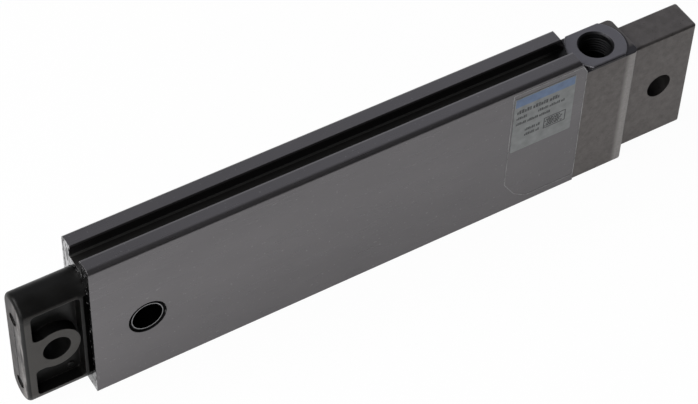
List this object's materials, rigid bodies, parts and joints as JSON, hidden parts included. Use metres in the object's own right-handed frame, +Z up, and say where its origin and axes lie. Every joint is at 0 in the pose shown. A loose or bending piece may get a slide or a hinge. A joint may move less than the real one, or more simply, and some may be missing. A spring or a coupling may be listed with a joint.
{
  "type": "flat pneumatic cylinder",
  "caption": "Flat single-acting air cylinder: slotted aluminium barrel, flat spring-returned plunger with eye, rear port and lug.",
  "frame": {"origin": "middle of the box at rest, at the height of the barrel's underside", "axes": "+Z up through the sensor slot, +X along the cylinder towards port and lug, +Y across its thickness"},
  "size_m": [0.2074, 0.0148, 0.0485],
  "materials": {
    "anodised_barrel": "dark grey hard anodised, satin",
    "cast_cap": "dark grey coated casting, fine grain",
    "black_moulding": "black glass-filled moulding",
    "steel": "plain steel",
    "black_rubber": "black rubber",
    "white_moulding": "off-white moulding",
    "bare_aluminium": "turned aluminium",
    "brass": "plain brass",
    "magnet": "dark sintered magnet"
  },
  "bodies": {
    "housing": {"barrel": "anodised_barrel", "end_cap": "cast_cap", "cap_seal": "black_rubber", "cap_pins": "steel", "rear_bumper": "black_rubber", "mounting_sleeve": "steel", "spring_saddle": "white_moulding", "stop_buffer": "black_rubber", "spring_washer": "steel", "return_spring": "steel"},
    "plunger_unit": {"plunger": "black_moulding", "spring_guide_pin": "steel", "screw_inserts": "brass", "piston_head": "bare_aluminium", "piston_guide_band": "white_moulding", "piston_seal": "black_rubber", "magnet": "magnet", "seal_retainer": "bare_aluminium", "piston_screws": "steel"}
  },
  "joints": [
    {"name": "plunger_slide", "type": "slide", "parent": "housing", "child": "plunger_unit", "axis": [-1, 0, 0], "range_m": [0, 0.04], "stiffness_N_per_m": 1000, "springref_m": -0.015, "deforming": ["return_spring"]}
  ]
}
